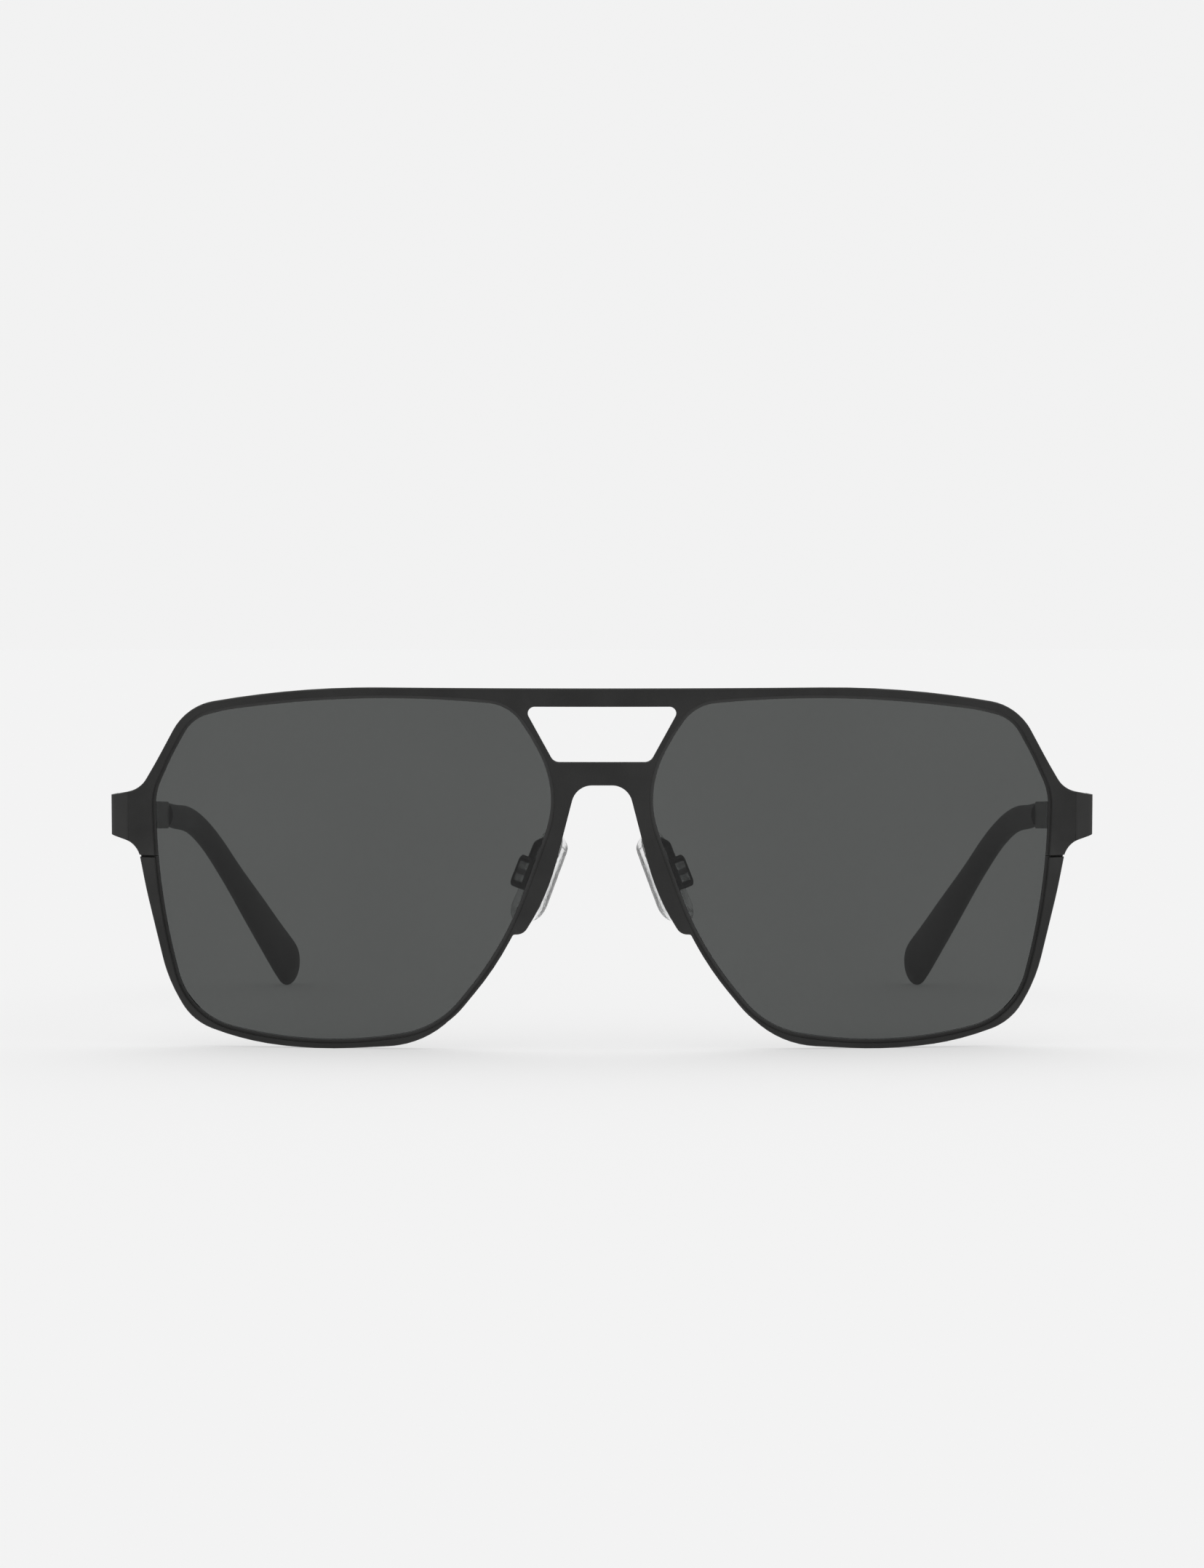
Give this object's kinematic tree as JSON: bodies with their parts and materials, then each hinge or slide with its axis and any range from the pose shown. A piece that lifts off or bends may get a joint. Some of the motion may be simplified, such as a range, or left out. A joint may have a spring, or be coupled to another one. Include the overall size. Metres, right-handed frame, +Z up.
{
  "type": "aviator sunglasses",
  "caption": "Navigator-style aviator sunglasses with a flat metal double-bridge front, grey lenses, clear nose pads and folding metal temples with plastic tips.",
  "frame": {"origin": "on the supporting surface, below the middle of the open sunglasses", "axes": "+Z up, lenses face -Y, +X towards the wearer's left"},
  "size_m": [0.1464, 0.1502, 0.0538],
  "materials": {
    "front_metal": "matte black powder-fine lacquer",
    "eyewire_metal": "matte black lacquer",
    "temple_metal": "matte dark gunmetal lacquer",
    "arm_metal": "satin black lacquer",
    "screw_steel": "blackened steel",
    "tinted_lens": "neutral grey tint, polished",
    "tip_plastic": "satin black moulded plastic",
    "clear_silicone": "clear soft silicone",
    "clear_plastic": "clear moulded plastic",
    "nylon": "natural nylon"
  },
  "bodies": {
    "front": {"closing_block_lower_left": "front_metal", "closing_block_lower_right": "front_metal", "closing_block_upper_left": "front_metal", "closing_block_upper_right": "front_metal", "eyewire_left": "eyewire_metal", "eyewire_right": "eyewire_metal", "front_sheet": "front_metal", "hinge_front_left": "front_metal", "hinge_front_right": "front_metal", "hinge_screw_left": "screw_steel", "hinge_screw_right": "screw_steel", "hinge_washers_left": "nylon", "hinge_washers_right": "nylon", "lens_left": "tinted_lens", "lens_right": "tinted_lens", "pad_arm_left": "arm_metal", "pad_arm_right": "arm_metal", "pad_box_left": "arm_metal", "pad_box_right": "arm_metal", "pad_screw_left": "screw_steel", "pad_screw_right": "screw_steel", "rim_screw_left": "screw_steel", "rim_screw_right": "screw_steel"},
    "left_temple": {"hinge_temple_left": "temple_metal", "temple_left": "temple_metal", "temple_tip_left": "tip_plastic"},
    "right_temple": {"hinge_temple_right": "temple_metal", "temple_right": "temple_metal", "temple_tip_right": "tip_plastic"},
    "left_pad": {"nose_pad_left": "clear_silicone", "pad_insert_left": "clear_plastic"},
    "right_pad": {"nose_pad_right": "clear_silicone", "pad_insert_right": "clear_plastic"}
  },
  "joints": [
    {"name": "left_temple_fold", "type": "hinge", "parent": "front", "child": "left_temple", "pos_m": [0.071, -0.05782, 0.03462], "axis": [0, 0.0366, 0.9993], "range_deg": [0, 82]},
    {"name": "right_temple_fold", "type": "hinge", "parent": "front", "child": "right_temple", "pos_m": [-0.071, -0.05782, 0.03462], "axis": [0, -0.0366, -0.9993], "range_deg": [0, 72]},
    {"name": "left_pad_rock", "type": "hinge", "parent": "front", "child": "left_pad", "pos_m": [0.0113, -0.06736, 0.02622], "axis": [0.5001, 0.8511, 0.1598], "range_deg": [-10, 10]},
    {"name": "right_pad_rock", "type": "hinge", "parent": "front", "child": "right_pad", "pos_m": [-0.0113, -0.06736, 0.02622], "axis": [-0.5001, 0.8511, 0.1598], "range_deg": [-10, 10]}
  ]
}
